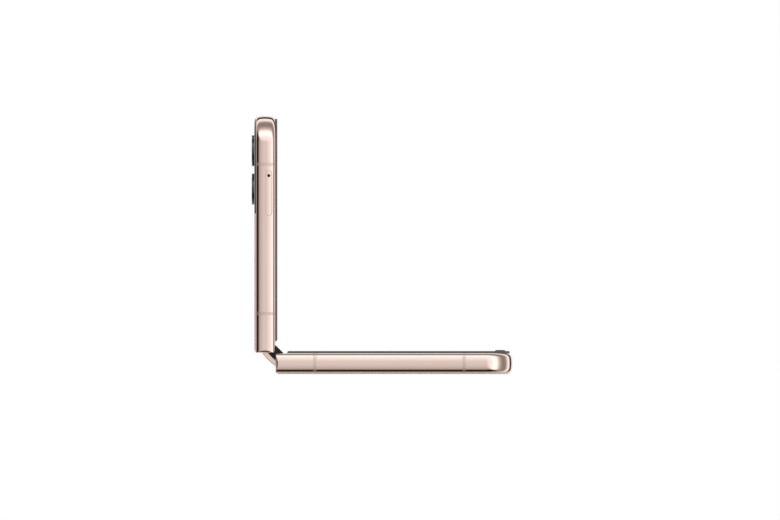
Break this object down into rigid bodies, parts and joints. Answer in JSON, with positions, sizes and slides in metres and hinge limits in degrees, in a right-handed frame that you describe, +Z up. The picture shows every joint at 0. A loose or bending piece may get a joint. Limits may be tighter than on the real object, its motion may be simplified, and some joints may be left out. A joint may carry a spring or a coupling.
{
  "type": "foldable smartphone",
  "caption": "Pocket phone whose two slim halves fold about a twin-axis spine, with a bending inner screen, a black cover glass with round cameras, side keys and a card tray.",
  "frame": {"origin": "centre of the lower half's back face, which rests on the table", "axes": "+X along the lower half, away from the hinge; +Z up, along the upper half as it stands open at a right angle; -Y is the side with the card tray"},
  "size_m": [0.0909, 0.0724, 0.0899],
  "materials": {
    "anodised_gold": "polished anodised, warm pink gold",
    "band_plastic": "satin moulded plastic, tone of the frame",
    "pink_glass": "opaque satin glass, pink gold backing",
    "black_glass": "opaque black gloss",
    "bezel_plastic": "soft dark grey plastic",
    "black_plastic": "black satin plastic",
    "rubber": "black moulded rubber",
    "dark_metal": "black anodised, turned",
    "battery_foil": "black wrapped pouch",
    "circuit_board": "solder mask",
    "copper": "copper winding",
    "steel": "brushed",
    "flash_window": "clear window over a yellow diffuser",
    "card_plastic": "plain white card"
  },
  "bodies": {
    "lower": {"lower_frame": "anodised_gold", "lower_bands": "band_plastic", "lower_back_glass": "pink_glass", "lower_bezel": "bezel_plastic", "lower_bumpers": "rubber", "display_lower": "black_glass", "lower_backer": "steel", "lower_battery": "battery_foil", "sub_board": "circuit_board", "sub_board_shield": "steel", "usb_shell": "steel", "usb_tongue": "black_plastic", "loudspeaker": "black_plastic", "vibration_motor": "steel", "charging_coil": "copper", "lower_magnets": "steel", "lower_rotators": "steel", "lower_screws": "steel"},
    "spine": {"spine_cover": "anodised_gold", "end_caps": "black_plastic", "hinge_bases": "steel", "gear_shafts": "steel", "hinge_springs": "steel", "spine_floor": "steel", "display_fold": "black_glass"},
    "upper": {"upper_frame": "anodised_gold", "upper_bands": "band_plastic", "upper_back_glass": "pink_glass", "cover_glass": "black_glass", "cover_display": "black_plastic", "camera_ring_outer": "dark_metal", "camera_ring_inner": "dark_metal", "lens_glasses": "black_glass", "cameras": "black_plastic", "flash_lens": "flash_window", "upper_bezel": "bezel_plastic", "display_upper": "black_glass", "upper_backer": "steel", "front_camera": "black_plastic", "earpiece": "black_plastic", "main_board": "circuit_board", "board_shields": "steel", "upper_battery": "battery_foil", "card_socket": "steel", "key_flex": "copper", "upper_magnets": "steel", "upper_rotators": "steel", "upper_screws": "steel"},
    "lower_arms": {"lower_sync_arms": "steel"},
    "upper_arms": {"upper_sync_arms": "steel"},
    "lower_idlers": {"lower_idlers": "steel"},
    "upper_idlers": {"upper_idlers": "steel"},
    "card_tray": {"sim_tray": "anodised_gold", "sim_card": "card_plastic"},
    "volume_rocker": {"volume_rocker": "anodised_gold"},
    "power_key": {"power_key": "anodised_gold"}
  },
  "joints": [
    {"name": "fold_lower", "type": "hinge", "parent": "lower", "child": "spine", "pos_m": [-0.0396, 0, 0.0065], "axis": [0, 1, 0], "range_deg": [-45, 45], "deforming": ["display_fold"]},
    {"name": "fold_upper", "type": "hinge", "parent": "spine", "child": "upper", "pos_m": [-0.04215, 0, 0.00905], "axis": [0, 1, 0], "range_deg": [-45, 45]},
    {"name": "lower_arm_turn", "type": "hinge", "parent": "spine", "child": "lower_arms", "pos_m": [-0.03974, 0, 0.00438], "axis": [0, 1, 0], "range_deg": [-45, 45]},
    {"name": "upper_arm_turn", "type": "hinge", "parent": "spine", "child": "upper_arms", "pos_m": [-0.04427, 0, 0.0089], "axis": [0, 1, 0], "range_deg": [-45, 45]},
    {"name": "lower_idler_turn", "type": "hinge", "parent": "spine", "child": "lower_idlers", "pos_m": [-0.04125, 0, 0.00589], "axis": [0, 1, 0], "range_deg": [-45, 45]},
    {"name": "upper_idler_turn", "type": "hinge", "parent": "spine", "child": "upper_idlers", "pos_m": [-0.04276, 0, 0.0074], "axis": [0, 1, 0], "range_deg": [-45, 45]},
    {"name": "tray_slide", "type": "slide", "parent": "upper", "child": "card_tray", "axis": [0, -1, 0], "range_m": [0, 0.018]},
    {"name": "volume_tip", "type": "hinge", "parent": "upper", "child": "volume_rocker", "pos_m": [-0.04495, 0.03365, 0.06135], "axis": [1, 0, 0], "range_deg": [-1.2, 1.2], "stiffness_Nm_per_rad": 0.3},
    {"name": "power_press", "type": "slide", "parent": "upper", "child": "power_key", "axis": [0, -1, 0], "range_m": [0, 0.00025], "stiffness_N_per_m": 500, "springref_m": -0.0006}
  ],
  "couplings": [
    {"joint": "fold_upper", "follows": "fold_lower", "ratio": 1},
    {"joint": "lower_arm_turn", "follows": "fold_lower", "ratio": -1},
    {"joint": "upper_arm_turn", "follows": "fold_lower", "ratio": 1},
    {"joint": "lower_idler_turn", "follows": "fold_lower", "ratio": 1},
    {"joint": "upper_idler_turn", "follows": "fold_lower", "ratio": -1}
  ]
}
